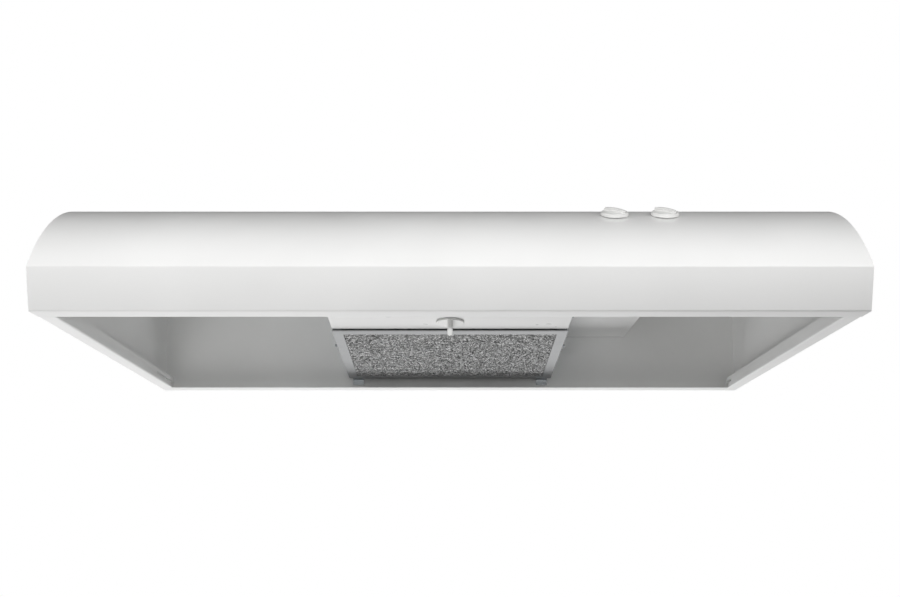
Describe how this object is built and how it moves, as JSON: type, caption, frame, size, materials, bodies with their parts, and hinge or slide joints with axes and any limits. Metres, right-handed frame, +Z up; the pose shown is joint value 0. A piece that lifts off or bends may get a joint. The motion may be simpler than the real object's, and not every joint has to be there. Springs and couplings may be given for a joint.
{
  "type": "under cabinet range hood",
  "caption": "White under cabinet range hood with a curved crown, open underside, centre mesh filter, light lens, blower and damper.",
  "frame": {"origin": "centre line of the flat top, where it meets the underside of the cabinet, 345 mm behind the front crease", "axes": "+X to the right seen from the front, +Y towards the wall, +Z up into the cabinet"},
  "size_m": [0.759, 0.505, 0.14],
  "materials": {
    "white_enamel": "gloss white enamel over steel, slight orange peel",
    "galvanised_steel": "galvanised steel, faint spangle",
    "aluminium_sheet": "mill finish aluminium",
    "filter_mesh": "layered expanded aluminium mesh",
    "lens_plastic": "white translucent moulded plastic",
    "white_plastic": "white moulded plastic",
    "black_plastic": "black moulded plastic",
    "motor_lamination": "dark painted motor shell",
    "capacitor_can": "drawn aluminium can",
    "bright_steel": "bright spring steel",
    "zinc_plate": "bright zinc plate",
    "frosted_glass": "inside-frosted glass",
    "lamp_brass": "rolled brass shell",
    "porcelain": "glazed cream porcelain",
    "lead_sheath": "black flexible sheath"
  },
  "bodies": {
    "hood": {"canopy_shell": "white_enamel", "side_panel_left": "white_enamel", "side_panel_right": "white_enamel", "rear_panel": "white_enamel", "rear_duct_knockout": "white_enamel", "plenum_side_left": "galvanised_steel", "plenum_side_right": "galvanised_steel", "plenum_front": "galvanised_steel", "blower_deck": "galvanised_steel", "outlet_wall": "galvanised_steel", "inlet_ring": "black_plastic", "blower_scroll": "galvanised_steel", "motor_body": "motor_lamination", "motor_bracket": "galvanised_steel", "motor_screw_left": "zinc_plate", "motor_screw_right": "zinc_plate", "damper_frame": "galvanised_steel", "filter_clip_left": "zinc_plate", "filter_clip_right": "zinc_plate", "snap_button_left": "zinc_plate", "snap_button_right": "zinc_plate", "lens_hinge_pin": "bright_steel", "lamp_bulb": "frosted_glass", "lamp_base": "lamp_brass", "lamp_socket": "porcelain", "socket_bracket": "galvanised_steel", "lamp_reflector": "aluminium_sheet", "wiring_cover": "white_enamel", "cover_screw": "zinc_plate", "cable_bushing": "black_plastic", "terminal_block": "porcelain", "run_capacitor": "capacitor_can", "fan_lead": "lead_sheath", "light_lead": "lead_sheath", "motor_lead": "lead_sheath", "lamp_lead": "lead_sheath", "fan_switch_body": "black_plastic", "light_switch_body": "black_plastic", "fan_switch_nut": "zinc_plate", "light_switch_nut": "zinc_plate"},
    "fan_control": {"fan_knob": "white_plastic", "fan_switch_shaft": "bright_steel"},
    "light_control": {"light_knob": "white_plastic", "light_switch_shaft": "bright_steel"},
    "lens_door": {"light_lens": "lens_plastic"},
    "latch": {"latch_knob": "white_plastic", "latch_tongue": "bright_steel", "latch_push_nut": "zinc_plate"},
    "filter": {"filter_frame": "aluminium_sheet", "filter_mesh": "filter_mesh"},
    "impeller": {"blower_wheel": "black_plastic", "motor_shaft": "bright_steel"},
    "damper": {"damper_flap": "aluminium_sheet", "damper_pin": "bright_steel"}
  },
  "joints": [
    {"name": "fan_knob_turn", "type": "hinge", "parent": "hood", "child": "fan_control", "pos_m": [0.1595, -0.26912, -0.0316], "axis": [0, 0.4772, -0.8788], "range_deg": [0, 120]},
    {"name": "light_knob_turn", "type": "hinge", "parent": "hood", "child": "light_control", "pos_m": [0.2085, -0.26912, -0.0316], "axis": [0, 0.4772, -0.8788], "range_deg": [0, 90]},
    {"name": "lens_drop", "type": "hinge", "parent": "hood", "child": "lens_door", "pos_m": [0, -0.21123, -0.0931], "axis": [-1, 0, 0], "range_deg": [0, 75], "deforming": ["latch_tongue"]},
    {"name": "latch_turn", "type": "hinge", "parent": "lens_door", "child": "latch", "pos_m": [0, -0.11006, -0.10272], "axis": [0, 0.075, 0.9972], "range_deg": [0, 90]},
    {"name": "filter_drop", "type": "hinge", "parent": "hood", "child": "filter", "pos_m": [0, 0.15307, -0.12411], "axis": [1, 0, 0], "range_deg": [0, 35]},
    {"name": "blower_spin", "type": "hinge", "parent": "hood", "child": "impeller", "pos_m": [0, -0.0055, -0.04], "axis": [0, 0, 1], "continuous": true},
    {"name": "damper_swing", "type": "hinge", "parent": "hood", "child": "damper", "pos_m": [0, 0.142, -0.017], "axis": [-1, 0, 0], "range_deg": [0, 75]}
  ]
}
